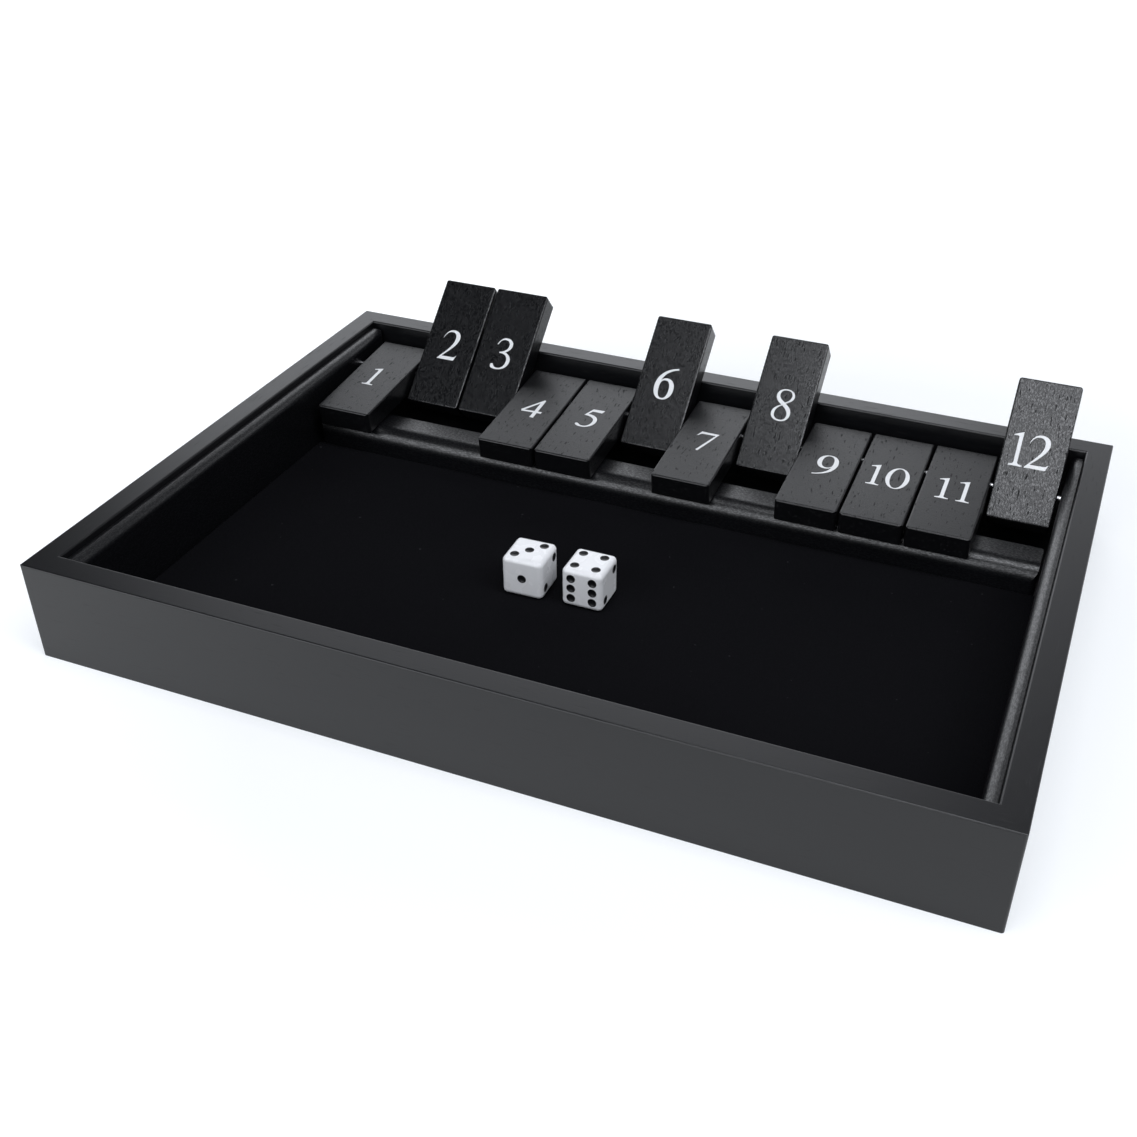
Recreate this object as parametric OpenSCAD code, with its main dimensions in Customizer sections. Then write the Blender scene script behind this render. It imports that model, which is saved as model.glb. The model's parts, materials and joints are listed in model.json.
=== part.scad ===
// Shut the box game: an open wooden tray, twelve numbered tiles that tip on one hinge rod,
// the rest that the lowered tiles lie on, a felt floor and two dice.
// Millimetres. The origin is on the table under the middle of the tray:
// +X to the player's right, +Y to the back wall, +Z up.

/* [Box] */
// Outside width of the tray, left to right
box_w = 340; // [300:1:400]
// Outside depth of the tray, front to back
box_d = 236; // [224:1:280]
// Height of the walls
box_h = 38.8; // [36:0.1:44]
// Thickness of the left and right walls
side_wall_t = 9.5; // [7:0.1:14]
// Thickness of the front and back walls
end_wall_t = 10; // [7:0.1:14]
// Rounding of the walls' outer top edges
outer_edge_r = 0.6; // [0.3:0.1:3]
// Rounding of the walls' inner top edges
inner_edge_r = 0.8; // [0.3:0.1:2]
// Rounding of the four upright corners of the tray
corner_r = 1; // [0.5:0.1:5]

/* [Floor] */
// Thickness of the base board, which is flush with the walls' lower edges
board_t = 6.4; // [3:0.1:9]
// Width of the rebate in each wall's lower edge that the base board is glued into
rebate_w = 5; // [2:0.1:6]
// Gap between the base board's edge and the side of its rebate
board_edge_gap = 0.4; // [0.1:0.1:1]
// Thickness of the felt
felt_t = 1.6; // [0.5:0.1:2]
// Gap between the felt's front and back edges and the wood there
felt_end_gap = 0.2; // [0.1:0.1:2]
// Gap between each side edge of the felt and the side rail
felt_side_gap = 0.4; // [0.1:0.1:5]

/* [Side rails] */
// Thickness of the rail along each side wall
rail_t = 5; // [4.6:0.1:8]
// Depth of the rails' tops below the walls' tops
rail_drop = 2.4; // [2:0.1:6]
// Rounding of a rail's top edge on the tray's side
rail_nose_r = 3.5; // [1:0.1:4]
// Rounding of a rail's top edge beside the wall
rail_edge_r = 0.5; // [0.3:0.1:0.6]
// Gap between a rail's round back end and the back wall
rail_end_gap = 0.7; // [0.2:0.1:3]
// Rounding of the rails' back ends
rail_end_r = 1.7; // [0.5:0.1:1.7]

/* [Tile rest] */
// Depth of the rest, front to back
rest_d = 16; // [10:0.1:20]
// Height of the rest above the base board
rest_h = 12.8; // [8:0.1:14]
// Distance from the rest's back face to the hinge rod's axis
rest_to_rod = 25.7; // [22:0.1:28]
// Rounding of the rest's front top edge
rest_nose_r = 6.2; // [1:0.1:7]
// Rounding of the rest's back top edge
rest_back_r = 0.6; // [0.3:0.1:2]
// Rounding of the rest's upright corners
rest_corner_r = 2.2; // [0.5:0.1:4]
// Gap between each end of the rest and the side rail
rest_end_gap = 1.4; // [0.5:0.1:5]

/* [Hinge rod] */
// Diameter of the hinge rod
rod_d = 2; // [1.5:0.1:3]
// Distance from the back wall's inner face to the rod's axis
rod_to_wall = 20; // [18:0.1:24]
// Height of the rod's axis above the top of the rest
rod_over_rest = 8; // [7.5:0.1:10]
// Radial clearance of the rod in the tiles, which turn on it
tile_bore_clearance = 0.08; // [0.04:0.01:0.1]
// Radial clearance of the rod in the side rails, which hold it
rail_bore_clearance = 0.03; // [0.01:0.01:0.1]
// Gap between each end of the rod and the side wall behind it
rod_end_gap = 0.2; // [0.1:0.1:1]

/* [Tiles] */
// Thickness of a tile, which has the hinge bore in the middle of it
tile_t = 9.4; // [8:0.1:10]
// Length of a tile behind the rod, to its short end
tile_tail = 14.3; // [10:0.1:16]
// Length of a lowered tile that stands out in front of the rest
tile_overhang = 3.6; // [1:0.1:8]
// Gap between neighbouring tiles
tile_gap = 0.95; // [0.7:0.05:3]
// Sideways play of the whole row between the side rails
row_play = 5.4; // [3:0.1:12]
// How far the row has slid to the right of the middle
row_slide = 1.2; // [0:0.05:1.5]
// Rounding of a tile's edges
tile_edge_r = 0.7; // [0.3:0.1:1.5]
// Rounding of a tile's corners, seen on its numbered face
tile_corner_r = 1.6; // [0.5:0.1:2.5]
// Gap left where a tile comes to rest, and under the dice
seat_gap = 0.25; // [0.1:0.05:0.4]

/* [Dice] */
// Width of a die
die_w = 16; // [15:0.5:19]
// Rounding of a die's edges and corners
die_edge_r = 1.9; // [1:0.1:2.5]
// Diameter of a pip
pip_d = 3.5; // [2:0.1:3.6]
// Depth of a pip
pip_depth = 0.6; // [0.3:0.05:0.9]
// Distance from a die's side to the middles of the outer pips
pip_inset = 3.8; // [3.5:0.1:4.2]
// Place of the left die from the middle of the tray
left_die_at = [-21.9, -21.3]; // [-60:0.1:60]
// Turn of the left die
left_die_turn = 1.5; // [-20:0.5:20]
// Place of the right die from the middle of the tray
right_die_at = [1.6, -19.9]; // [-60:0.1:60]

/* [Hidden] */
$fn = 64;
// How far a cutting shape runs past what it cuts
overrun = 1;
// Tiles that stand up, and all the others lie flat
raised_tiles = [2, 3, 6, 8, 12];
tile_count = 12;

inner_w = box_w - 2 * side_wall_t;
inner_d = box_d - 2 * end_wall_t;
felt_top = board_t + felt_t;
clear_w = inner_w - 2 * rail_t;
rail_h = box_h - rail_drop - board_t;

rod_y = inner_d / 2 - rod_to_wall;
rest_top = board_t + rest_h;
rod_z = rest_top + rod_over_rest;
rest_back_y = rod_y - rest_to_rod;
rest_front_y = rest_back_y - rest_d;
rest_w = clear_w - 2 * rest_end_gap;

tile_w = (clear_w - row_play - (tile_count - 1) * tile_gap) / tile_count;
tile_pitch = tile_w + tile_gap;
row_w = tile_count * tile_pitch - tile_gap;
tile_head = rest_to_rod + rest_d + tile_overhang;
tile_l = tile_head + tile_tail;
half_t = tile_t / 2;

// A lowered tile slopes down until its underside meets the round nose of the rest.
nose_dy = rod_y - rest_front_y - rest_nose_r;
nose_dz = rod_over_rest + rest_nose_r;
flat_slope = atan2(nose_dz, nose_dy)
    - asin((half_t + rest_nose_r + seat_gap) / norm([nose_dy, nose_dz]));

// A raised tile leans back until the face that was on top meets the back wall's inner top edge.
edge_dy = rod_to_wall + inner_edge_r;
edge_dz = box_h - inner_edge_r - rod_z;
up_lean = acos((half_t + inner_edge_r + seat_gap) / norm([edge_dy, edge_dz]))
    - atan2(edge_dz, edge_dy);

// Pips on a face, in steps of the pip pitch: one list for each number
pip_steps = [
    [[0, 0]],
    [[-1, -1], [1, 1]],
    [[-1, -1], [0, 0], [1, 1]],
    [[-1, -1], [-1, 1], [1, -1], [1, 1]],
    [[-1, -1], [-1, 1], [0, 0], [1, -1], [1, 1]],
    [[-1, -1], [-1, 0], [-1, 1], [1, -1], [1, 0], [1, 1]]
];
pip_pitch = die_w / 2 - pip_inset;
pip_ball_r = (pow(pip_d / 2, 2) + pow(pip_depth, 2)) / (2 * pip_depth);

wood_black = [0.16, 0.165, 0.175];
wood_grey = [0.25, 0.26, 0.275];
felt_black = [0.05, 0.05, 0.06];
steel = [0.8, 0.8, 0.82];
die_white = [0.93, 0.93, 0.93];

// What comes off a square corner at the origin to round it
module corner_waste(r) {
    difference() {
        translate([-overrun, -overrun])
            square(r + overrun);
        translate([r, r])
            circle(r);
    }
}

module rounded_rect(w, d, r) {
    difference() {
        square([w, d], center = true);
        for (sx = [0, 1], sy = [0, 1])
            mirror([sx, 0])
                mirror([0, sy])
                    translate([-w / 2, -d / 2])
                        corner_waste(r);
    }
}

// Section of a wall: the outer face at 0, the inner face at t, with the base board's rebate
module wall_section(t) {
    difference() {
        square([t, box_h]);
        translate([0, box_h])
            mirror([0, 1])
                corner_waste(outer_edge_r);
        translate([t, box_h])
            rotate(180)
                corner_waste(inner_edge_r);
        translate([t - rebate_w, -overrun])
            square([rebate_w + overrun, board_t + overrun]);
    }
}

module front_wall() {
    color(wood_black)
        intersection() {
            translate([-box_w / 2, -box_d / 2, 0])
                rotate([90, 0, 90])
                    linear_extrude(box_w)
                        wall_section(end_wall_t);
            linear_extrude(box_h)
                intersection() {
                    polygon([
                        [-box_w / 2, -box_d / 2],
                        [box_w / 2, -box_d / 2],
                        [inner_w / 2, -inner_d / 2],
                        [-inner_w / 2, -inner_d / 2]
                    ]);
                    rounded_rect(box_w, box_d, corner_r);
                }
        }
}

module back_wall() {
    mirror([0, 1, 0])
        front_wall();
}

module left_wall() {
    color(wood_black)
        intersection() {
            translate([-box_w / 2, box_d / 2, 0])
                rotate([90, 0, 0])
                    linear_extrude(box_d)
                        wall_section(side_wall_t);
            linear_extrude(box_h)
                intersection() {
                    polygon([
                        [-box_w / 2, -box_d / 2],
                        [-inner_w / 2, -inner_d / 2],
                        [-inner_w / 2, inner_d / 2],
                        [-box_w / 2, box_d / 2]
                    ]);
                    rounded_rect(box_w, box_d, corner_r);
                }
        }
}

module right_wall() {
    mirror([1, 0, 0])
        left_wall();
}

module base_board() {
    reach = 2 * (rebate_w - board_edge_gap);
    color(wood_black)
        linear_extrude(board_t)
            square([inner_w + reach, inner_d + reach], center = true);
}

module felt_mat() {
    front = -inner_d / 2 + felt_end_gap;
    back = rest_front_y - felt_end_gap;
    w = clear_w - 2 * felt_side_gap;
    color(felt_black)
        translate([-w / 2, front, board_t])
            linear_extrude(felt_t)
                square([w, back - front]);
}

// The left rail, glued to the wall, with a hole that holds the end of the hinge rod
module left_rail() {
    back_end = inner_d / 2 - rail_end_gap;
    rail_l = back_end + inner_d / 2;
    color(wood_black)
        difference() {
            translate([-inner_w / 2, back_end, board_t])
                rotate([90, 0, 0])
                    linear_extrude(rail_l)
                        difference() {
                            square([rail_t, rail_h]);
                            translate([0, rail_h])
                                mirror([0, 1])
                                    corner_waste(rail_edge_r);
                            translate([rail_t, rail_h])
                                rotate(180)
                                    corner_waste(rail_nose_r);
                        }
            // Rounds the back end, seen from the side and from above
            translate([-inner_w / 2 - overrun, back_end, board_t + rail_h])
                rotate([90, 0, 90])
                    linear_extrude(rail_t + 2 * overrun)
                        rotate(180)
                            corner_waste(rail_end_r);
            translate([-inner_w / 2, back_end, 0])
                linear_extrude(box_h)
                    mirror([0, 1])
                        corner_waste(rail_end_r);
            translate([-inner_w / 2 + rail_t, back_end, 0])
                linear_extrude(box_h)
                    rotate(180)
                        corner_waste(rail_end_r);
            translate([-inner_w / 2 - overrun, rod_y, rod_z])
                rotate([0, 90, 0])
                    cylinder(h = rail_t + 2 * overrun, r = rod_d / 2 + rail_bore_clearance);
        }
}

module right_rail() {
    mirror([1, 0, 0])
        left_rail();
}

module tile_rest() {
    color(wood_black)
        intersection() {
            translate([0, rest_front_y + rest_d / 2, board_t])
                linear_extrude(rest_h)
                    rounded_rect(rest_w, rest_d, rest_corner_r);
            translate([-rest_w / 2, rest_front_y, board_t])
                rotate([90, 0, 90])
                    linear_extrude(rest_w)
                        difference() {
                            square([rest_d, rest_h]);
                            translate([0, rest_h])
                                mirror([0, 1])
                                    corner_waste(rest_nose_r);
                            translate([rest_d, rest_h])
                                rotate(180)
                                    corner_waste(rest_back_r);
                        }
        }
}

module hinge_rod() {
    rod_l = inner_w - 2 * rod_end_gap;
    color(steel)
        translate([-rod_l / 2, rod_y, rod_z])
            rotate([0, 90, 0])
                cylinder(h = rod_l, d = rod_d);
}

// A tile lying level, with the bore's axis on X at the origin and the free end to the front
module tile_blank() {
    middle_y = (tile_tail - tile_head) / 2;
    difference() {
        translate([0, middle_y, 0])
            intersection() {
                linear_extrude(tile_t, center = true)
                    rounded_rect(tile_w, tile_l, tile_corner_r);
                rotate([90, 0, 0])
                    linear_extrude(tile_l, center = true)
                        rounded_rect(tile_w, tile_t, tile_edge_r);
                rotate([90, 0, 90])
                    linear_extrude(tile_w, center = true)
                        rounded_rect(tile_l, tile_t, tile_edge_r);
            }
        rotate([0, 90, 0])
            cylinder(h = tile_w + 2 * overrun, r = rod_d / 2 + tile_bore_clearance, center = true);
    }
}

module tile(number) {
    raised = len(search(number, raised_tiles)) > 0;
    middle_x = row_slide + (number - 1) * tile_pitch + (tile_w - row_w) / 2;
    tip = raised ? -(90 + up_lean) : flat_slope;
    color(wood_grey)
        translate([middle_x, rod_y, rod_z])
            rotate([tip, 0, 0])
                tile_blank();
}

// What comes off a solid's square corner at the origin to round it to a ball
module ball_corner_waste(r) {
    difference() {
        translate([-overrun, -overrun, -overrun])
            cube(r + overrun);
        translate([r, r, r])
            sphere(r);
    }
}

// The pips of one face, cut down into a face that looks along +Z
module pips(number) {
    for (step = pip_steps[number - 1])
        translate([step.x * pip_pitch, step.y * pip_pitch, die_w / 2 - pip_depth + pip_ball_r])
            sphere(pip_ball_r);
}

// A die about its middle. Opposite faces add up to seven.
module die(top, front, right) {
    color(die_white)
        difference() {
            intersection() {
                linear_extrude(die_w, center = true)
                    rounded_rect(die_w, die_w, die_edge_r);
                rotate([90, 0, 0])
                    linear_extrude(die_w, center = true)
                        rounded_rect(die_w, die_w, die_edge_r);
                rotate([0, 90, 0])
                    linear_extrude(die_w, center = true)
                        rounded_rect(die_w, die_w, die_edge_r);
            }
            for (sx = [0, 1], sy = [0, 1], sz = [0, 1])
                mirror([sx, 0, 0])
                    mirror([0, sy, 0])
                        mirror([0, 0, sz])
                            translate([-die_w / 2, -die_w / 2, -die_w / 2])
                                ball_corner_waste(die_edge_r);
            pips(top);
            rotate([180, 0, 0])
                pips(7 - top);
            rotate([90, 0, 0])
                pips(front);
            rotate([-90, 0, 0])
                pips(7 - front);
            rotate([90, 0, 90])
                pips(right);
            rotate([90, 0, -90])
                pips(7 - right);
        }
}

module die_left() {
    translate([left_die_at.x, left_die_at.y, felt_top + seat_gap + die_w / 2])
        rotate([0, 0, left_die_turn])
            die(top = 3, front = 1, right = 2);
}

module die_right() {
    translate([right_die_at.x, right_die_at.y, felt_top + seat_gap + die_w / 2])
        die(top = 4, front = 6, right = 2);
}

front_wall();
back_wall();
left_wall();
right_wall();
base_board();
felt_mat();
left_rail();
right_rail();
tile_rest();
hinge_rod();
tile(1);  // tile_1
tile(2);  // tile_2
tile(3);  // tile_3
tile(4);  // tile_4
tile(5);  // tile_5
tile(6);  // tile_6
tile(7);  // tile_7
tile(8);  // tile_8
tile(9);  // tile_9
tile(10);  // tile_10
tile(11);  // tile_11
tile(12);  // tile_12
die_left();
die_right();
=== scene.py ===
# %% [markdown]
# # A black shut the box game
#
# The real object is a shallow wooden tray, stained black, with twelve numbered wooden tiles
# that tip on one steel rod, a felt floor and two white dice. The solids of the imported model
# already have their real sizes and places, so they could be copied or modelled again here, but
# then two models would drift apart. This file keeps them as they are and adds what they lack:
# the finishes, the printed numbers, the paint in the pips and a felt with a soft cut edge.

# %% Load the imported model
import json
import math

import bmesh
import bpy
from mathutils import Matrix, Quaternion, Vector, noise


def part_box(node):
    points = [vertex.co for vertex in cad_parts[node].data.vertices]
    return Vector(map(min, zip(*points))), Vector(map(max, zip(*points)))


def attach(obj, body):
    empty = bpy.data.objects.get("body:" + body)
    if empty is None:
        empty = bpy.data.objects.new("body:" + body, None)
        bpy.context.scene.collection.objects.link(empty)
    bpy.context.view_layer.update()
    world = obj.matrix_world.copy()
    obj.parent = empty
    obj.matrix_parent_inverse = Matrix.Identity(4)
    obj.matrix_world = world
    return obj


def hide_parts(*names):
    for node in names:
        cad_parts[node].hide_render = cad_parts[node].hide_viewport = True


MM = 0.001
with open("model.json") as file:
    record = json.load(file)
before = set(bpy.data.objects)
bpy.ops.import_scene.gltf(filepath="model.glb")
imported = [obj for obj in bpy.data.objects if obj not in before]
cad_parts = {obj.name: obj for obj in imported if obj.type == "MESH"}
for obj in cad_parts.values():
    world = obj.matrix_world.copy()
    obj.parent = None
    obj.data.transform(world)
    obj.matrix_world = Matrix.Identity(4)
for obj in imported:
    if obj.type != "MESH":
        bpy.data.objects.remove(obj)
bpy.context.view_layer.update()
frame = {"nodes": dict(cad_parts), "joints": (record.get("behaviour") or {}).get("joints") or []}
nodes = frame["nodes"]

# %% [markdown]
# ## The camera
#
# The tray was looked at from its front right, a little more than half a metre away. A camera
# could be aimed with a tracking constraint, but a fixed place, a point to look at and a very
# small roll say the same thing in three lines and never change by themselves. The sensor shift
# is there because the photograph was cropped off centre.

# %% Place the camera
eye = Vector((163.06, -410.00, 302.89)) * MM
aim = Vector((12.9, -36.2, 20.0)) * MM
roll = math.radians(0.486)
lens = bpy.data.cameras.new("camera")
lens.sensor_width = 36.0
lens.lens = 43.82
lens.shift_x = -0.0290
lens.shift_y = 0.0291
camera = bpy.data.objects.new("camera", lens)
camera.location = eye
camera.rotation_mode = "QUATERNION"
level = (aim - eye).to_track_quat("-Z", "Y")
camera.rotation_quaternion = level @ Quaternion((0, 0, 1), roll)
bpy.context.scene.collection.objects.link(camera)
bpy.context.scene.camera = camera
print("camera looks along:", [round(part, 3) for part in (aim - eye).normalized()])

# %% [markdown]
# ## A small language for materials
#
# Blender's materials are graphs of nodes. They could be drawn by hand or built with long lists
# of links. Here one small class wraps an output socket, so that a sum in Python adds the Math
# nodes for it, and a second class holds one finish and adds every other kind of node through
# one method: its type, then its settings, then the values or links of its sockets.

# %% A wire that can stand in a sum
class Wire:
    """An output socket that can stand in a sum."""

    def __init__(self, finish, socket):
        self.finish = finish
        self.socket = socket

    def math(self, operation, first, second):
        """A Math node on two numbers, either of which may be a wire."""
        return self.finish.node("ShaderNodeMath", {"operation": operation}, {0: first, 1: second})

    def __add__(self, other):
        return self.math("ADD", self, other)

    def __radd__(self, other):
        return self.math("ADD", other, self)

    def __sub__(self, other):
        return self.math("SUBTRACT", self, other)

    def __rsub__(self, other):
        return self.math("SUBTRACT", other, self)

    def __mul__(self, other):
        return self.math("MULTIPLY", self, other)

    def __rmul__(self, other):
        return self.math("MULTIPLY", other, self)


print("operators of a wire: + - *")

# %% A finish and its nodes
class Finish:
    """One material, and the way to add nodes to it."""

    def __init__(self, name):
        self.material = bpy.data.materials.new(name)
        self.material.use_nodes = True
        self.tree = self.material.node_tree
        self.tree.nodes.clear()

    def node(self, kind, settings=None, inputs=None, out=0):
        """Any node, and a wire from its output of that name or index."""
        made = self.tree.nodes.new(kind)
        for name, value in (settings or {}).items():
            if name == "stops":
                self.set_stops(made.color_ramp, value)
            else:
                setattr(made, name, value)
        for name, value in (inputs or {}).items():
            self.feed(made.inputs[name], value)
        return Wire(self, made.outputs[out]) if made.outputs else None

    def feed(self, socket, value):
        """Links a wire to a socket, or sets the socket to a fixed value."""
        if isinstance(value, Wire):
            self.tree.links.new(value.socket, socket)
        else:
            socket.default_value = value

    def set_stops(self, ramp, stops):
        """Gives a colour ramp grey stops, each a place and a level."""
        while len(ramp.elements) < len(stops):
            ramp.elements.new(1.0)
        for element, (place, level) in zip(ramp.elements, stops):
            element.position = place
            element.color = (level, level, level, 1)

    def place(self):
        """Places in metres in the piece's own frame, so a pattern moves with its piece."""
        return self.node("ShaderNodeTexCoord", out="Object")

    def vector(self, operation, first, second=(0, 0, 0)):
        """A Vector Math node, whose length and dot product are numbers."""
        out = "Value" if operation in ("LENGTH", "DOT_PRODUCT") else "Vector"
        sockets = {0: first, 1: second}
        return self.node("ShaderNodeVectorMath", {"operation": operation}, sockets, out)

    def noise(self, place, scale, detail=2.0, roughness=0.5):
        """Soft random levels around a half."""
        sockets = {"Vector": place, "Scale": scale, "Detail": detail, "Roughness": roughness}
        return self.node("ShaderNodeTexNoise", {}, sockets)

    def ramp(self, wire, *stops):
        """The wire's levels, stretched between stops."""
        return self.node("ShaderNodeValToRGB", {"stops": stops}, {"Fac": wire})

    def blend(self, share, first, second):
        """From the first colour at a share of 0 to the second at 1. Either may be a wire."""
        ends = [end if isinstance(end, Wire) else (*end, 1) for end in (first, second)]
        # The Mix node has its sockets once for each kind of value: these are the ones for colours.
        sockets = {0: share, 6: ends[0], 7: ends[1]}
        return self.node("ShaderNodeMix", {"data_type": "RGBA"}, sockets, out=2)

    def bump(self, height, distance):
        """A shallow relief, with a height of 1 standing for that distance in metres."""
        sockets = {"Height": height, "Distance": distance, "Strength": 1.0}
        return self.node("ShaderNodeBump", {}, sockets)

    def shade(self, **sockets):
        """Closes the material with one shader and those sockets of it."""
        named = {name.replace("_", " "): value for name, value in sockets.items()}
        surface = self.node("ShaderNodeBsdfPrincipled", {}, named)
        self.node("ShaderNodeOutputMaterial", {}, {"Surface": surface})
        return self.material


print("materials that the solids came with:", len(bpy.data.materials))

# %% [markdown]
# ## Floor and light
#
# The object stands on a plain white table in soft light. A picture of a studio could light it,
# but plain soft boxes are easier to read and to change. Black lacquered wood shows little of
# its own colour: most of what the eye sees on it is the reflection of the bright boxes. So
# there is a strip above and to the right, which the raised tiles mirror, and three boxes
# behind, which the tops of the walls and of the lowered tiles mirror. Two more, at the front
# left and at the right, light the sides of the dice and show in no flat face. The table's glow
# is painted light. It is least under the tray, so a soft shade stays round it, partly cast by
# the boxes and partly painted, and the rest turns plain white.

# %% Make the floor
FLOOR_HALF = 6.0
FLOOR_DROP = 0.1 * MM
# In metres: the middle of the painted soft shade, and where the painted glow round it starts and
# is full.
SHADE_MIDDLE = (0.1, 0, 0)
SHADE_STARTS = 0.22
SHADE_ENDS = 0.6


def add_piece(name, shape):
    """A new piece in the scene from a finished shape."""
    mesh = bpy.data.meshes.new(name)
    shape.to_mesh(mesh)
    shape.free()
    piece = bpy.data.objects.new(name, mesh)
    bpy.context.scene.collection.objects.link(piece)
    return piece


def table_top():
    """A square sheet just under the tray."""
    shape = bmesh.new()
    bmesh.ops.create_grid(shape, x_segments=8, y_segments=8, size=FLOOR_HALF)
    sheet = add_piece("floor", shape)
    sheet.location.z = -FLOOR_DROP
    return sheet


def white_table():
    """Plain white with a painted glow that is weaker near the tray, a painted shade round it."""
    finish = Finish("white_table")
    place = finish.place()
    cloud = finish.noise(place, 3.0)
    tone = finish.blend(cloud, (0.475, 0.465, 0.445), (0.495, 0.485, 0.465))
    away = finish.vector("LENGTH", finish.vector("SUBTRACT", place, SHADE_MIDDLE))
    # Painted light: the glow grows away from the tray, so it paints a soft shade round the tray.
    glow = finish.ramp(away, (SHADE_STARTS, 0.0), (SHADE_ENDS, 1.0))
    return finish.shade(
        Base_Color=tone,
        Roughness=0.7,
        Specular_IOR_Level=0.2,
        Emission_Color=finish.blend(glow, (0.46, 0.49, 0.53), (0.97, 1.0, 1.04)),
        Emission_Strength=1.05,
    )


floor = table_top()
floor.data.materials.append(white_table())
print("floor:", floor.name, "half width in m:", FLOOR_HALF)

# %% Hang the soft boxes
DAYLIGHT = (0.955, 0.98, 1.03)
ROOM_GREY = (0.040, 0.0415, 0.045, 1)
WATTS_FOR_AREA = 4


def soft_box(name, centre, toward, width, height, brightness):
    """A rectangular light at a place in metres that faces another."""
    light = bpy.data.lights.new(name, "AREA")
    light.shape = "RECTANGLE"
    light.size = width
    light.size_y = height
    light.color = DAYLIGHT
    # Boxes of one brightness look alike whatever their size, so the watts follow the area.
    light.energy = WATTS_FOR_AREA * width * height * brightness
    lamp = bpy.data.objects.new(name, light)
    lamp.location = centre
    lamp.rotation_mode = "QUATERNION"
    lamp.rotation_quaternion = (Vector(toward) - Vector(centre)).to_track_quat("-Z", "Y")
    lamp.visible_camera = False
    bpy.context.scene.collection.objects.link(lamp)


soft_box("above_right", (0.50, -0.22, 1.0), (0.50, -0.22, 0), 1.25, 0.5, 3.8)
soft_box("behind_left", (-0.80, 1.5, 0.86), (-0.80, 0, 0.86), 1.6, 1.24, 1.3)
soft_box("behind_right", (0.75, 1.5, 0.42), (0.75, 0, 0.42), 1.5, 0.8, 0.6)
soft_box("behind", (0.3, 1.6, 0.9), (0.3, 0, 0.9), 2.0, 1.6, 0.2)
soft_box("front_left", (-0.8, -1.6, 1.0), (0, 0, 0), 2.2, 1.3, 2.4)
soft_box("right", (1.5, -0.1, 1.3), (0, 0, 0), 1.2, 1.2, 1.6)
world = bpy.data.worlds.new("room")
world.use_nodes = True
world.node_tree.nodes["Background"].inputs["Color"].default_value = ROOM_GREY
bpy.context.scene.world = world
bpy.context.scene.view_settings.view_transform = "Standard"
print("soft boxes:", [light.name for light in bpy.data.lights])

# %% [markdown]
# ## Black stained wood
#
# The walls, rails, rest and base are a fine-grained wood with a black stain and a thin satin
# lacquer. A photograph of wood would show its grain, but stretched noise does it at any size:
# fine fibres several times longer than they are wide, darker pores as thin dashes and a slow
# change of tone. The same pattern gives the colour, the gloss and a very shallow relief. The
# rails and the rest are less well sanded, so a thin coat in specks makes them glitter a little.

# %% The wood of the tray
STAIN = (0.0013, 0.0014, 0.0019)
FADED_STAIN = (0.0032, 0.0034, 0.0044)
TRAY_GRAIN_LENGTH = 9
SPECK_LENGTH = 3


def grain_place(finish, along, length, tip=0.0, shift=0.0):
    """Places along a grain: a step of 1 is 1 mm across it and that length in mm along it."""
    sockets = {
        "Vector": finish.place(),
        "Location": (shift, shift, shift),
        "Rotation": (tip, 0, 0),
        "Scale": [length * MM if axis == along else MM for axis in "XYZ"],
    }
    return finish.node("ShaderNodeMapping", {"vector_type": "TEXTURE"}, sockets)


def specks(finish, along, tip=0.0, shift=0.0):
    """A mask of short light dashes, where the grain stands up through the lacquer; in a tile's
    colour they are painted glints as well.
    """
    place = grain_place(finish, along, SPECK_LENGTH, tip, shift)
    return finish.ramp(finish.noise(place, 2.6, 2.0, 0.7), (0.48, 0.0), (0.56, 1.0))


def tray_wood(name, along, rough=0.0, sheen=0.5):
    """Wood with its grain along X or Y, that share of specks and that strength of reflection."""
    finish = Finish(name)
    place = grain_place(finish, along, TRAY_GRAIN_LENGTH)
    slow = finish.noise(place, 0.14, 3.0)
    fibre = finish.noise(place, 1.7, 3.0, 0.6)
    pore = finish.ramp(finish.noise(place, 1.1, 1.0), (0.66, 0.0), (0.74, 1.0))
    tone = finish.blend(slow * 0.6 + fibre * 0.5 - pore * 0.5, STAIN, FADED_STAIN)
    relief = finish.bump(fibre * 0.5 - pore * 0.4, 0.02 * MM)
    return finish.shade(
        Base_Color=tone,
        Roughness=0.27 + fibre * 0.12 + pore * 0.1,
        Specular_IOR_Level=sheen,
        Coat_Weight=specks(finish, along) * rough if rough else 0.0,
        Coat_Roughness=0.28,
        Normal=relief,
    )


wood_across = tray_wood("black_wood_across", "X")
wood_deep = tray_wood("black_wood_deep", "Y")
wood_of_rest = tray_wood("black_wood_rest", "X", rough=0.8, sheen=0.38)
wood_of_rails = tray_wood("black_wood_rails", "Y", rough=0.7, sheen=0.56)
tray_woods = {
    "front_wall": wood_across,
    "back_wall": wood_across,
    "left_wall": wood_deep,
    "right_wall": wood_deep,
    "base_board": wood_across,
    "left_rail": wood_of_rails,
    "right_rail": wood_of_rails,
    "tile_rest": wood_of_rest,
}
for name, wood in tray_woods.items():
    nodes[name].material_slots[0].material = wood
print("wooden pieces of the tray:", len(tray_woods))

# %% [markdown]
# ## Where each tile lies
#
# The tiles hang on one rod, some lowered and some raised, so their faces lean at two angles.
# The angles could be typed in again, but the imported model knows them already: the middle of a
# tile's box and the joint's axis give its direction, and the solid's own points its thickness.

# %% Measure the tiles
ROD = Vector((1, 0, 0))


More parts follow.
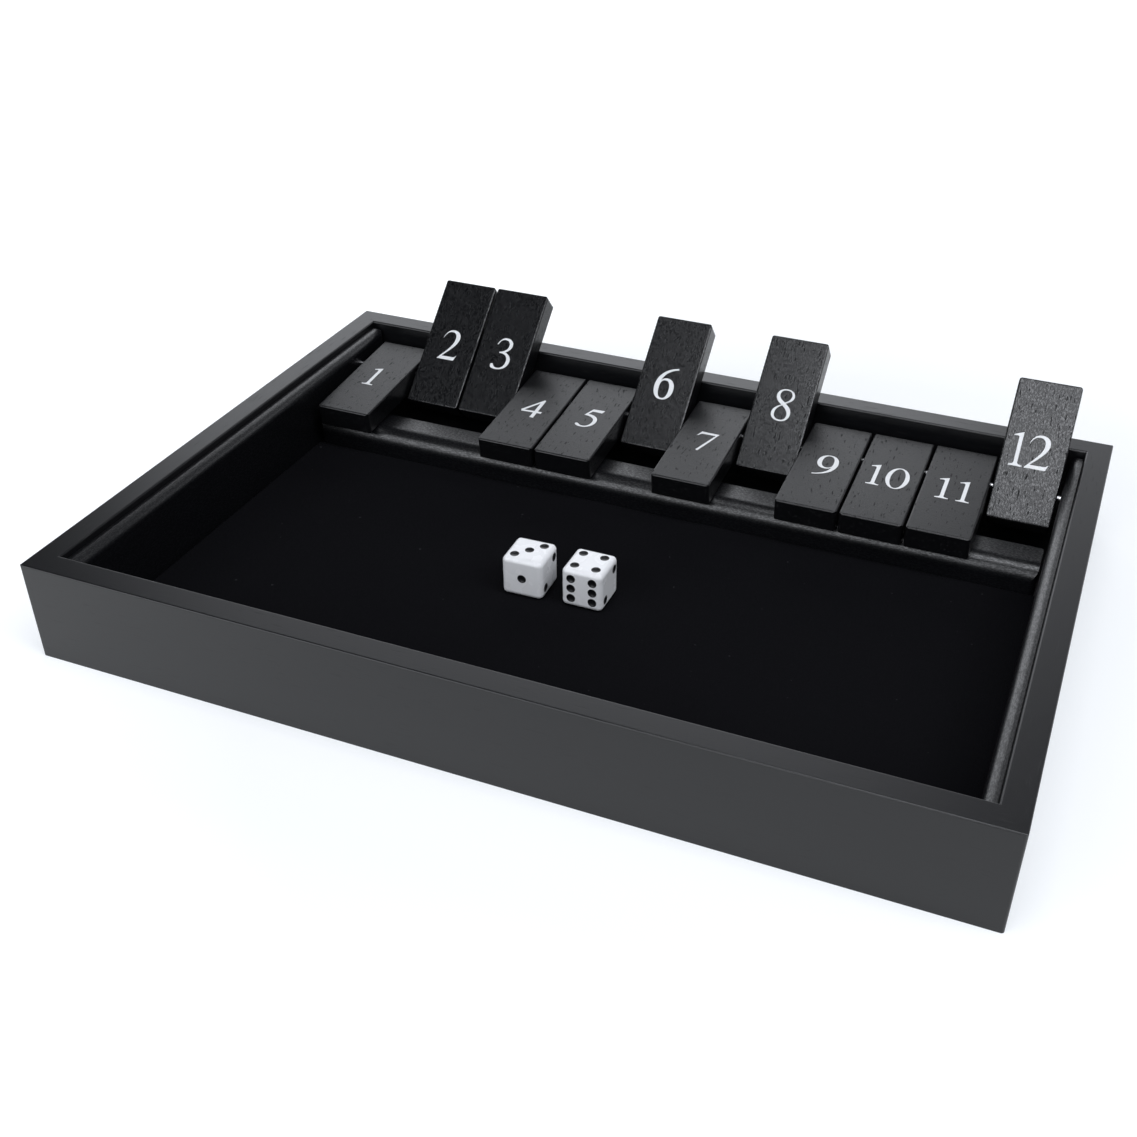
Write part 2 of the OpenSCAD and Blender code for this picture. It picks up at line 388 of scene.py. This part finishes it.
class Tile:
    """Directions and faces of one tile, read from its solid and its joint."""

    def __init__(self, number, joint):
        low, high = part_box(f"tile_{number}")
        hinge = Vector(joint["pos_m"])
        self.number = number
        self.middle = (low + high) / 2
        self.along = Vector((0, self.middle.y - hinge.y, self.middle.z - hinge.z)).normalized()
        self.under = ROD.cross(self.along)
        self.raised = joint["range_deg"][1] == 0
        self.tip = math.atan(self.along.z / self.along.y)
        heights = [point.co.dot(self.under) for point in nodes[f"tile_{number}"].data.vertices]
        self.half_thickness = (max(heights) - min(heights)) / 2

    def face(self, up):
        """The frame of the face whose numbers have their tops that way along the tile."""
        out = ROD.cross(up)
        turned = Matrix((ROD, up, out)).transposed().to_4x4()
        return Matrix.Translation(self.middle + out * self.half_thickness) @ turned


joints = {joint["child"]: joint for joint in frame["joints"]}
tiles = [Tile(number, joints[f"tile_{number}"]) for number in range(1, 13)]
print("raised:", [tile.number for tile in tiles if tile.raised])
print("leans in degrees:", sorted({round(math.degrees(tile.tip), 1) for tile in tiles}))

# %% [markdown]
# ## The wood of the tiles
#
# The tiles have the same stain over an open-pored wood, so they look greyer and a little
# speckled where the light catches them. One material could serve all twelve, but then the
# grain would run on from tile to tile like one board. Each tile gets its own copy, with the
# pattern turned to lie along it and moved on to another part of the board.
#
# A raised tile shows its underside, which was less well sanded, so its lacquer glitters in
# specks. Giving the raised tiles a rougher finish would be wrong as soon as one is lowered.
# Instead every tile has most of its specks on its underside, found from the way a surface
# faces. There the specks also lighten the colour: pale fibre, and painted glints as well.
# No two tiles took the lacquer quite alike, and the second and third shine least.

# %% The finish of each tile
# The pale end of the tiles' colour, for the fibre and for the painted glints of the specks.
PALE_FIBRE_AND_GLINT = (0.022, 0.0225, 0.024)
RAISED_SHEEN = 0.35
LOWERED_SHEEN = 0.486
DULLER_SHEENS = {2: 0.17, 3: 0.2}
TILE_GRAIN_LENGTH = 5
SANDED_ROUGH = 0.1
# In metres, each way: how far the grain and the specks move on from tile to tile.
GRAIN_STEP = 0.31
SPECK_STEP = 0.47


def poorly_sanded(finish, tile):
    """A mask of the rougher wood: 1 on the tile's underside and little on its other sides."""
    normal = finish.node("ShaderNodeTexCoord", out="Normal")
    facing = finish.vector("DOT_PRODUCT", normal, tile.under)
    return finish.ramp(facing, (0.5, 0.0), (0.8, 1.0)) * (1 - SANDED_ROUGH) + SANDED_ROUGH


def sheen_of(tile):
    """How strongly that tile's lacquer reflects."""
    return DULLER_SHEENS.get(tile.number, RAISED_SHEEN if tile.raised else LOWERED_SHEEN)


def tile_wood(tile):
    """Wood with its grain along the tile, from that tile's own part of the board."""
    finish = Finish(f"tile_wood_{tile.number}")
    rough = poorly_sanded(finish, tile)
    shift = tile.number * GRAIN_STEP
    place = grain_place(finish, "Y", TILE_GRAIN_LENGTH, tile.tip, shift)
    slow = finish.noise(place, 0.2, 3.0)
    fibre = finish.noise(place, 2.6, 2.0, 0.6)
    pore = finish.ramp(finish.noise(place, 1.3, 1.0), (0.66, 0.0), (0.69, 1.0))
    speck = specks(finish, "Y", tile.tip, tile.number * SPECK_STEP)
    # The specks' share of the pale colour is pale fibre and painted glints, mostly on the
    # underside.
    pale = (slow * 0.4 + fibre * 0.5 - pore * 0.6) * 0.11 + speck * rough * 0.3
    height = (fibre * 0.6 + speck * 0.5 - pore * 0.4) * (rough * 0.67 + 0.33)
    return finish.shade(
        Base_Color=finish.blend(pale, STAIN, PALE_FIBRE_AND_GLINT),
        Roughness=0.25 - rough * 0.05 + fibre * 0.1 + pore * 0.4,
        Specular_IOR_Level=sheen_of(tile),
        Coat_Weight=speck * (1 - pore) * rough * 0.8,
        Coat_Roughness=0.27,
        Normal=finish.bump(height, 0.06 * MM),
    )


for tile in tiles:
    nodes[f"tile_{tile.number}"].material_slots[0].material = tile_wood(tile)
print("tile finishes:", len(tiles))

# %% [markdown]
# ## Printed numbers
#
# Both faces of every tile carry its number in opaque white ink, in an upright old book style
# with thick and thin strokes. A ready font would bring someone's letter shapes along, so the
# ten figures are drawn here as outlines in millimetres: pairs are straight steps, and sixes
# are curves with their two handles first. A filled curve turns them into thin flat bodies,
# with the holes left open, and each tile's figures become one mesh that rides on it. Real
# printing is never quite even, so each figure has its own weight and each number its place.

# %% Curves that figures share
# Four curves make an oval when their handles are this share of its half width and half height.
QUARTER_BOW = 0.5523
SIX = [
    (8.7, 15.4),
    (3.6, 14.6, 0.0, 11.0, 0.0, 6.0),
    (0.0, 2.2, 1.7, -0.2, 4.4, -0.2),
    (7.2, -0.2, 8.9, 2.0, 8.9, 5.0),
    (8.9, 8.0, 7.4, 10.1, 5.0, 10.1),
    (3.9, 10.1, 3.1, 9.7, 2.6, 9.1),
    (3.4, 11.8, 5.4, 13.8, 9.0, 14.6),
]
SIX_HOLE = [
    (2.3, 5.6),
    (2.3, 7.8, 2.9, 8.9, 4.3, 8.9),
    (6.0, 8.9, 6.7, 7.2, 6.7, 4.6),
    (6.7, 2.0, 5.9, 0.7, 4.6, 0.7),
    (3.0, 0.7, 2.3, 2.6, 2.3, 5.6),
]


def half_turn(outline, width, height):
    """The outline turned half round in a box of that width and height."""
    return [
        tuple(width - part if i % 2 == 0 else height - part for i, part in enumerate(step))
        for step in outline
    ]


def oval(centre_x, centre_y, half_x, half_y):
    """An upright oval as four curves."""
    bow_x = QUARTER_BOW * half_x
    bow_y = QUARTER_BOW * half_y
    left, right = centre_x - half_x, centre_x + half_x
    low, high = centre_y - half_y, centre_y + half_y
    return [
        (centre_x, high),
        (centre_x + bow_x, high, right, centre_y + bow_y, right, centre_y),
        (right, centre_y - bow_y, centre_x + bow_x, low, centre_x, low),
        (centre_x - bow_x, low, left, centre_y - bow_y, left, centre_y),
        (left, centre_y + bow_y, centre_x - bow_x, high, centre_x, high),
    ]


print("steps of the six and of its hole:", len(SIX), len(SIX_HOLE))

# %% Draw the ten figures
FIGURES = {
    "0": [oval(4.75, 7.6, 4.75, 7.8), oval(4.75, 7.6, 2.65, 6.9)],
    "1": [
        [
            (0.1, 13.7),
            (3.9, 15.3),
            (4.1, 15.2),
            (4.1, 2.0),
            (4.1, 1.2, 4.6, 1.0, 6.0, 0.9),
            (6.0, 0.0),
            (0.5, 0.0),
            (0.5, 0.9),
            (1.8, 1.0, 2.3, 1.2, 2.3, 2.0),
            (2.3, 12.2),
            (2.3, 13.3, 1.9, 13.4, 0.4, 12.9),
        ]
    ],
    "2": [
        [
            (0.05, 10.5),
            (0.5, 13.6, 2.2, 15.2, 4.4, 15.2),
            (6.9, 15.2, 8.4, 13.5, 8.4, 11.3),
            (8.4, 8.0, 5.4, 5.2, 2.5, 1.95),
            (7.4, 2.05),
            (8.1, 2.05, 8.5, 2.4, 8.8, 3.1),
            (9.3, 2.9),
            (8.4, 0.0),
            (0.0, 0.0),
            (0.0, 0.5),
            (3.0, 4.4, 6.05, 7.4, 6.05, 10.9),
            (6.05, 12.9, 5.1, 13.75, 3.8, 13.75),
            (2.3, 13.9, 1.1, 12.6, 0.45, 10.3),
        ]
    ],
    "3": [
        [
            (0.55, 11.9),
            (1.2, 14.2, 2.6, 15.5, 4.3, 15.5),
            (6.5, 15.5, 8.0, 14.2, 8.0, 12.3),
            (8.0, 10.6, 7.0, 9.4, 5.6, 8.5),
            (7.6, 7.8, 8.75, 6.3, 8.75, 4.5),
            (8.75, 1.6, 6.4, -0.3, 3.2, -0.3),
            (1.9, -0.3, 0.8, 0.0, 0.4, 0.5),
            (0.1, 0.9, 0.1, 1.6, 0.2, 2.2),
            (1.4, 2.4),
            (1.7, 1.2, 2.6, 0.6, 3.8, 0.6),
            (5.6, 0.6, 6.9, 2.0, 6.9, 4.4),
            (6.9, 6.6, 5.6, 7.8, 2.6, 7.8),
            (2.6, 8.4),
            (5.0, 8.9, 6.3, 10.2, 6.3, 11.9),
            (6.3, 13.6, 5.3, 14.4, 3.9, 14.4),
            (2.6, 14.4, 1.6, 13.6, 1.0, 11.6),
        ]
    ],
    "4": [
        [
            (0.0, 5.2),
            (7.0, 15.4),
            (8.0, 14.9),
            (8.0, 5.8),
            (9.9, 5.8),
            (9.8, 4.0),
            (8.0, 4.0),
            (8.0, 0.0),
            (5.9, 0.0),
            (5.9, 4.0),
            (0.6, 3.7),
        ],
        [(2.1, 5.4), (6.0, 11.5), (6.0, 5.6)],
    ],
    "5": [
        [
            (3.4, 15.0),
            (8.8, 15.3),
            (8.2, 12.9),
            (4.0, 13.0),
            (2.9, 10.9),
            (6.2, 10.6, 8.4, 8.8, 8.4, 5.6),
            (8.4, 2.1, 6.0, 0.0, 3.2, 0.0),
            (1.8, 0.0, 0.6, 0.5, 0.1, 1.3),
            (-0.1, 1.9, 0.2, 2.5, 0.9, 2.6),
            (1.7, 2.6, 2.0, 1.2, 3.6, 1.1),
            (5.4, 1.0, 6.5, 2.8, 6.5, 5.2),
            (6.5, 8.0, 4.6, 9.2, 1.2, 9.4),
        ]
    ],
    "6": [SIX, SIX_HOLE],
    "7": [
        [
            (-0.3, 11.1),
            (1.1, 14.9),
            (9.0, 14.7),
            (9.0, 14.1),
            (4.1, 0.2),
            (3.8, -0.2, 3.0, -0.1, 2.6, 0.7),
            (7.2, 12.9),
            (2.2, 12.8),
            (1.5, 12.8, 1.1, 12.2, 0.9, 11.4),
        ]
    ],
    "8": [
        [
            (4.4, 15.0),
            (6.8, 15.0, 8.3, 13.6, 8.3, 11.8),
            (8.3, 10.2, 7.1, 9.2, 5.4, 8.3),
            (7.2, 7.0, 8.3, 5.6, 8.3, 3.9),
            (8.3, 1.5, 6.7, -0.1, 4.2, -0.1),
            (1.6, -0.1, 0.0, 1.4, 0.0, 3.4),
            (0.0, 5.2, 1.2, 6.5, 3.2, 7.6),
            (1.4, 8.8, 0.45, 10.0, 0.45, 11.6),
            (0.45, 13.6, 2.0, 15.0, 4.4, 15.0),
        ],
        [
            (4.5, 14.2),
            (2.9, 14.2, 2.1, 13.3, 2.1, 12.1),
            (2.1, 10.8, 3.2, 9.8, 4.7, 8.9),
            (6.2, 9.8, 6.9, 10.7, 6.9, 11.9),
            (6.9, 13.3, 6.0, 14.2, 4.5, 14.2),
        ],
        [
            (3.9, 7.1),
            (2.4, 6.2, 1.6, 5.1, 1.6, 3.6),
            (1.6, 1.8, 2.6, 0.8, 4.2, 0.8),
            (5.8, 0.8, 6.6, 1.7, 6.6, 3.0),
            (6.6, 4.6, 5.6, 5.8, 3.9, 7.1),
        ],
    ],
    "9": [half_turn(SIX, 9.0, 15.2), half_turn(SIX_HOLE, 9.0, 15.2)],
}
print("figures:", " ".join(sorted(FIGURES)))

# %% Turn a figure into a thin body of ink
HEIGHT_SHARE = 0.965
SAME_PLACE = 1e-6
# In mm: how far the ink stands out, and how far an outline is moved in to thin its strokes.
INK_LIFT = 0.06
THINNING = {
    "0": 0.19,
    "1": 0.18,
    "2": 0.20,
    "3": 0.08,
    "4": 0.22,
    "5": 0.14,
    "6": 0.09,
    "7": 0.24,
    "8": 0.15,
    "9": 0.18,
}


def add_outline(curve, steps):
    """One closed outline of straight and curved steps."""
    places = [Vector((*step[-2:], 0)) for step in steps]
    before = list(places)
    after = list(places)
    for i, step in enumerate(steps):
        if len(step) == 6:
            after[i - 1] = Vector((step[0], step[1], 0))
            before[i] = Vector((step[2], step[3], 0))
    if (places[0] - places[-1]).length < SAME_PLACE:
        places.pop()
        before[0] = before.pop()
    spline = curve.splines.new("BEZIER")
    spline.bezier_points.add(len(places) - 1)
    for point, place, handle_in, handle_out in zip(spline.bezier_points, places, before, after):
        point.handle_left_type = "FREE"
        point.handle_right_type = "FREE"
        point.co = place
        point.handle_left = handle_in
        point.handle_right = handle_out
    spline.use_cyclic_u = True


def figure_mesh(figure):
    """The figure as a mesh in mm that stands on its baseline, from its left edge on."""
    curve = bpy.data.curves.new("outline", "CURVE")
    curve.dimensions = "2D"
    curve.fill_mode = "BOTH"
    curve.resolution_u = 10
    curve.extrude = INK_LIFT
    curve.offset = -THINNING[figure]
    for outline in FIGURES[figure]:
        add_outline(curve, outline)
    drawing = bpy.data.objects.new("outline", curve)
    bpy.context.scene.collection.objects.link(drawing)
    solid = drawing.evaluated_get(bpy.context.evaluated_depsgraph_get())
    mesh = bpy.data.meshes.new_from_object(solid)
    bpy.data.objects.remove(drawing)
    mesh.transform(Matrix.Scale(HEIGHT_SHARE, 4, (0, 1, 0)))
    return mesh


figure_meshes = {figure: figure_mesh(figure) for figure in FIGURES}
print("faces in each figure:", {key: len(mesh.polygons) for key, mesh in figure_meshes.items()})

# %% Print the numbers on the tiles
# In mm from the middle of a tile's face: the left edge of each figure, and the baseline.
LEFT_EDGES = {
    1: [-4.15],
    2: [-4.85],
    3: [-4.5],
    4: [-4.75],
    5: [-4.25],
    6: [-4.9],
    7: [-4.1],
    8: [-3.85],
    9: [-3.85],
    10: [-8.35, -1.2],
    11: [-6.8, 1.2],
    12: [-9.3, -2.7],
}
BASELINES = {
    1: -7.35,
    2: -8.2,
    3: -7.9,
    4: -7.6,
    5: -7.0,
    6: -7.6,
    7: -7.45,
    8: -7.45,
    9: -7.45,
    10: -6.9,
    11: -6.9,
    12: -7.65,
}


def white_ink():
    """Opaque ink, a little uneven in tone and gloss."""
    finish = Finish("white_ink")
    cloud = finish.noise(finish.place(), 900.0, 2.0)
    tone = finish.blend(cloud, (0.66, 0.67, 0.68), (0.76, 0.77, 0.78))
    relief = finish.bump(cloud, 0.01 * MM)
    return finish.shade(Base_Color=tone, Roughness=0.4 + cloud * 0.2, Normal=relief)


def print_number(tile, ink):
    """Both faces' figures of one tile as one mesh that rides on it."""
    shape = bmesh.new()
    for up in (tile.along, -tile.along):
        for figure, left in zip(str(tile.number), LEFT_EDGES[tile.number]):
            start = Matrix.Translation((left, BASELINES[tile.number], 0))
            mesh = figure_meshes[figure].copy()
            mesh.transform(tile.face(up) @ Matrix.Scale(MM, 4) @ start)
            shape.from_mesh(mesh)
            bpy.data.meshes.remove(mesh)
    number = add_piece(f"number_{tile.number}", shape)
    number.data.materials.append(ink)
    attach(number, f"tile_{tile.number}")
    return number


ink = white_ink()
numbers = [print_number(tile, ink) for tile in tiles]
print("numbers printed:", len(numbers), "on two faces each")

# %% [markdown]
# ## The hinge rod
#
# The rod is bright drawn wire, with fine lines along it from the die it was pulled through.
# A mirror would look like glass at this size. Stretched noise in the roughness and a shallow
# relief break its reflection into the soft streak that drawn steel shows.

# %% Drawn steel
LINE_LENGTH = 14


def drawn_steel():
    """Bright metal with fine lines along X."""
    finish = Finish("drawn_steel")
    place = grain_place(finish, "X", LINE_LENGTH)
    line = finish.noise(place, 3.5, 2.0)
    tone = finish.blend(line, (0.62, 0.62, 0.64), (0.80, 0.80, 0.82))
    relief = finish.bump(line, 0.01 * MM)
    return finish.shade(Base_Color=tone, Metallic=1.0, Roughness=0.18 + line * 0.16, Normal=relief)


nodes["hinge_rod"].material_slots[0].material = drawn_steel()
print("steel:", nodes["hinge_rod"].active_material.name)

# %% [markdown]
# ## The dice
#
# The dice are polished white plastic with round edges, and their solids already have the
# shallow dents of the pips. The black of a dent could come from a mask in the material, but
# real dice have drops of paint in them, so each dent gets a thin dish of black paint that
# follows its floor. The dish catches a faint grey glint in its middle, as paint does. The
# sizes of a dent and its paint are in millimetres, and a dent is a part of a ball.

# %% White plastic
def white_plastic():
    """Polished plastic with faint clouds and a very fine grit."""
    finish = Finish("white_plastic")
    place = finish.place()
    cloud = finish.noise(place, 160.0, 2.0)
    grit = finish.noise(place, 2600.0, 2.0)
    tone = finish.blend(cloud, (0.735, 0.74, 0.755), (0.765, 0.77, 0.785))
    relief = finish.bump(grit, 0.006 * MM)
    return finish.shade(Base_Color=tone, Roughness=0.22 + cloud * 0.1, Normal=relief)


plastic = white_plastic()
for name in ("die_left", "die_right"):
    nodes[name].material_slots[0].material = plastic
print("dice:", plastic.name)

# %% Paint the pips
PIP_STEPS = {
    1: [(0, 0)],
    2: [(-1, -1), (1, 1)],
    3: [(-1, -1), (0, 0), (1, 1)],
    4: [(-1, -1), (-1, 1), (1, -1), (1, 1)],
    5: [(-1, -1), (-1, 1), (0, 0), (1, -1), (1, 1)],
    6: [(-1, -1), (-1, 0), (-1, 1), (1, -1), (1, 0), (1, 1)],
}
PIP_PITCH = 4.2
PIP_BALL = 2.852
PIP_EDGE = 1.73
FACE_HEIGHT = 8.0
DENT = 0.6
PAINT_LIFT = 0.02
PAINT_DEPTH = 0.06
RIM_STEPS = 6
DISH_SIDES = 28


def paint_profile():
    """Radius and height of the dish of paint, from its middle over its rim to its back."""
    ball_height = FACE_HEIGHT - DENT + PIP_BALL
    radii = [PIP_EDGE * step / RIM_STEPS for step in range(RIM_STEPS + 1)]
    top = [(r, ball_height - math.sqrt((PIP_BALL - PAINT_LIFT) ** 2 - r * r)) for r in radii]
    back = [(r, height - PAINT_DEPTH) for r, height in reversed(top)]
    return top + back


def add_dish(shape, matrix):
    """One dish of paint, turned round its own upright axis. A radius of 0 makes a single point."""
    turns = [math.tau * side / DISH_SIDES for side in range(DISH_SIDES)]
    rings = []
    for radius, height in paint_profile():
        angles = turns if radius > 0 else turns[:1]
        places = [Vector((radius * math.cos(a), radius * math.sin(a), height)) for a in angles]
        rings.append([shape.verts.new(matrix @ place) for place in places])
    for inner, outer in zip(rings, rings[1:]):
        for side in range(DISH_SIDES):
            corners = [inner[side % len(inner)], outer[side % len(outer)]]
            corners += [outer[(side + 1) % len(outer)], inner[(side + 1) % len(inner)]]
            shape.faces.new(list(dict.fromkeys(corners)))


def pip_paint():
    """Glossy black paint."""
    finish = Finish("pip_paint")
    cloud = finish.noise(finish.place(), 1500.0, 2.0)
    tone = finish.blend(cloud, (0.003, 0.003, 0.004), (0.007, 0.007, 0.008))
    return finish.shade(Base_Color=tone, Roughness=0.22 + cloud * 0.2)


def paint_pips(node, turn, top, front, right, paint):
    """All the pips of a die turned by that angle as one mesh. Opposite faces add up to seven."""
    low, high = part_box(node)
    stand = Matrix.Translation((low + high) / 2) @ Matrix.Scale(MM, 4)
    stand = stand @ Matrix.Rotation(math.radians(turn), 4, "Z")
    sides = [(top, 0, 0), (7 - top, 180, 0), (front, 90, 0), (7 - front, -90, 0)]
    sides += [(right, 90, 90), (7 - right, 90, -90)]
    shape = bmesh.new()
    for number, about_x, about_z in sides:
        facing = Matrix.Rotation(math.radians(about_z), 4, "Z")
        facing = stand @ facing @ Matrix.Rotation(math.radians(about_x), 4, "X")
        for x, y in PIP_STEPS[number]:
            add_dish(shape, facing @ Matrix.Translation((x * PIP_PITCH, y * PIP_PITCH, 0)))
    bmesh.ops.recalc_face_normals(shape, faces=shape.faces)
    pips = add_piece(f"{node}_pips", shape)
    pips.data.shade_smooth()
    pips.data.materials.append(paint)
    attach(pips, node)
    return pips


paint = pip_paint()
pips = [
    paint_pips("die_left", 1.5, 3, 1, 2, paint),
    paint_pips("die_right", 0, 4, 6, 2, paint),
]
print("points in the pips of each die:", [len(piece.data.vertices) for piece in pips])

# %% [markdown]
# ## The felt floor
#
# A sheet of short black felt is laid on the base board. Its solid has sharp straight edges,
# which cut felt never has. A cloth simulation could drape it, but it lies flat and glued, so
# moving the points of a fine grid is enough: the cut wavers a little, the edge is
# rounded over, and the top has the slight unevenness of pressed wool.

# %% The place of a point of the felt
WAVER = 0.12 * MM
WAVER_SCALE = 90
WAVER_LAYER = 3.0
SWELL = 0.05 * MM
SWELL_SCALE = 160
SWELL_LAYER = 8.0
# A high power keeps the waver at the cut edge and leaves the middle of the grid even.
RIM_SHARPNESS = 40
felt_low, felt_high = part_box("felt_mat")
felt_size = felt_high - felt_low


def felt_point(u, v, inset, drop):
    """A point of the felt: u and v run from 0 to 1, inset moves the edge in, drop lowers it."""
    centre = (felt_high + felt_low) / 2
    across, deep = 2 * u - 1, 2 * v - 1
    x = centre.x + across * (felt_size.x / 2 - inset)
    y = centre.y + deep * (felt_size.y / 2 - inset)
    waver_place = Vector((x * WAVER_SCALE, y * WAVER_SCALE, WAVER_LAYER))
    waver = WAVER * (1 + noise.noise(waver_place))
    rim = max(abs(across), abs(deep)) ** RIM_SHARPNESS
    x -= math.copysign(waver * rim, across)
    y -= math.copysign(waver * rim, deep)
    swell_place = Vector((x * SWELL_SCALE, y * SWELL_SCALE, SWELL_LAYER))
    swell = SWELL * (1 + noise.noise(swell_place))
    return Vector((x, y, felt_high.z - swell - drop))


print("a corner of the felt in mm:", [round(part / MM, 2) for part in felt_point(0, 0, 0, 0)])

# %% Cut the felt
FELT_COLUMNS = 180
FELT_ROWS = 90
TOP_INSET = 0.35 * MM
# How far in from the cut and how far down each ring of the rounded edge lies.
EDGE_STEPS = [(0.16 * MM, 0.06 * MM), (0.05 * MM, 0.18 * MM), (0.0, 0.4 * MM)]


def felt_top(shape):
    """The grid of the top, as points by column and row."""
    top = {}
    for i in range(FELT_COLUMNS + 1):
        for j in range(FELT_ROWS + 1):
            place = felt_point(i / FELT_COLUMNS, j / FELT_ROWS, TOP_INSET, 0)
            top[i, j] = shape.verts.new(place)
    for i in range(FELT_COLUMNS):
        for j in range(FELT_ROWS):
            shape.faces.new([top[i, j], top[i + 1, j], top[i + 1, j + 1], top[i, j + 1]])
    return top


def felt_rim():
    """The columns and rows of the points round the edge, in order."""
    rim = [(i, 0) for i in range(FELT_COLUMNS)]
    rim += [(FELT_COLUMNS, j) for j in range(FELT_ROWS)]
    rim += [(FELT_COLUMNS - i, FELT_ROWS) for i in range(FELT_COLUMNS)]
    rim += [(0, FELT_ROWS - j) for j in range(FELT_ROWS)]
    return rim


def join_rings(shape, above, below):
    """A band of squares between two rings of the same length."""
    for i in range(len(above)):
        j = (i + 1) % len(above)
        shape.faces.new([above[i], below[i], below[j], above[j]])


def lay_felt():
    """The top, the rounded cut edge and the flat underside as one closed shape."""
    shape = bmesh.new()
    top = felt_top(shape)
    rim = felt_rim()
    above = [top[step] for step in rim]
    for inset, drop in EDGE_STEPS:
        places = [felt_point(i / FELT_COLUMNS, j / FELT_ROWS, inset, drop) for i, j in rim]
        below = [shape.verts.new(place) for place in places]
        join_rings(shape, above, below)
        above = below
    foot = [shape.verts.new((point.co.x, point.co.y, felt_low.z)) for point in above]
    join_rings(shape, above, foot)
    shape.faces.new(list(reversed(foot)))
    bmesh.ops.recalc_face_normals(shape, faces=shape.faces)
    piece = add_piece("felt", shape)
    piece.data.shade_smooth()
    return piece


felt = lay_felt()
print("faces of the felt:", len(felt.data.polygons))

# %% Lay the felt
FELT_DARK = (0.0040, 0.0040, 0.0048)
FELT_LIGHT = (0.0058, 0.0058, 0.0068)
LINT = (0.02, 0.02, 0.022)


def black_felt():
    """Dull black wool with a few pale bits of lint."""
    finish = Finish("black_felt")
    place = finish.place()
    tuft = finish.noise(place, 1400.0, 3.0, 0.7)
    cloud = finish.noise(place, 60.0, 3.0)
    lint = finish.ramp(finish.noise(place, 420.0, 1.0), (0.79, 0.0), (0.815, 1.0))
    wool = finish.blend(tuft * 0.7 + cloud * 0.3, FELT_DARK, FELT_LIGHT)
    tone = finish.blend(lint, wool, LINT)
    relief = finish.bump(tuft, 0.15 * MM)
    return finish.shade(Base_Color=tone, Roughness=0.95, Specular_IOR_Level=0.01, Normal=relief)


felt.data.materials.append(black_felt())
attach(felt, "tray")
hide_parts("felt_mat")
print("felt in mm:", [round(side / MM, 1) for side in felt_size])
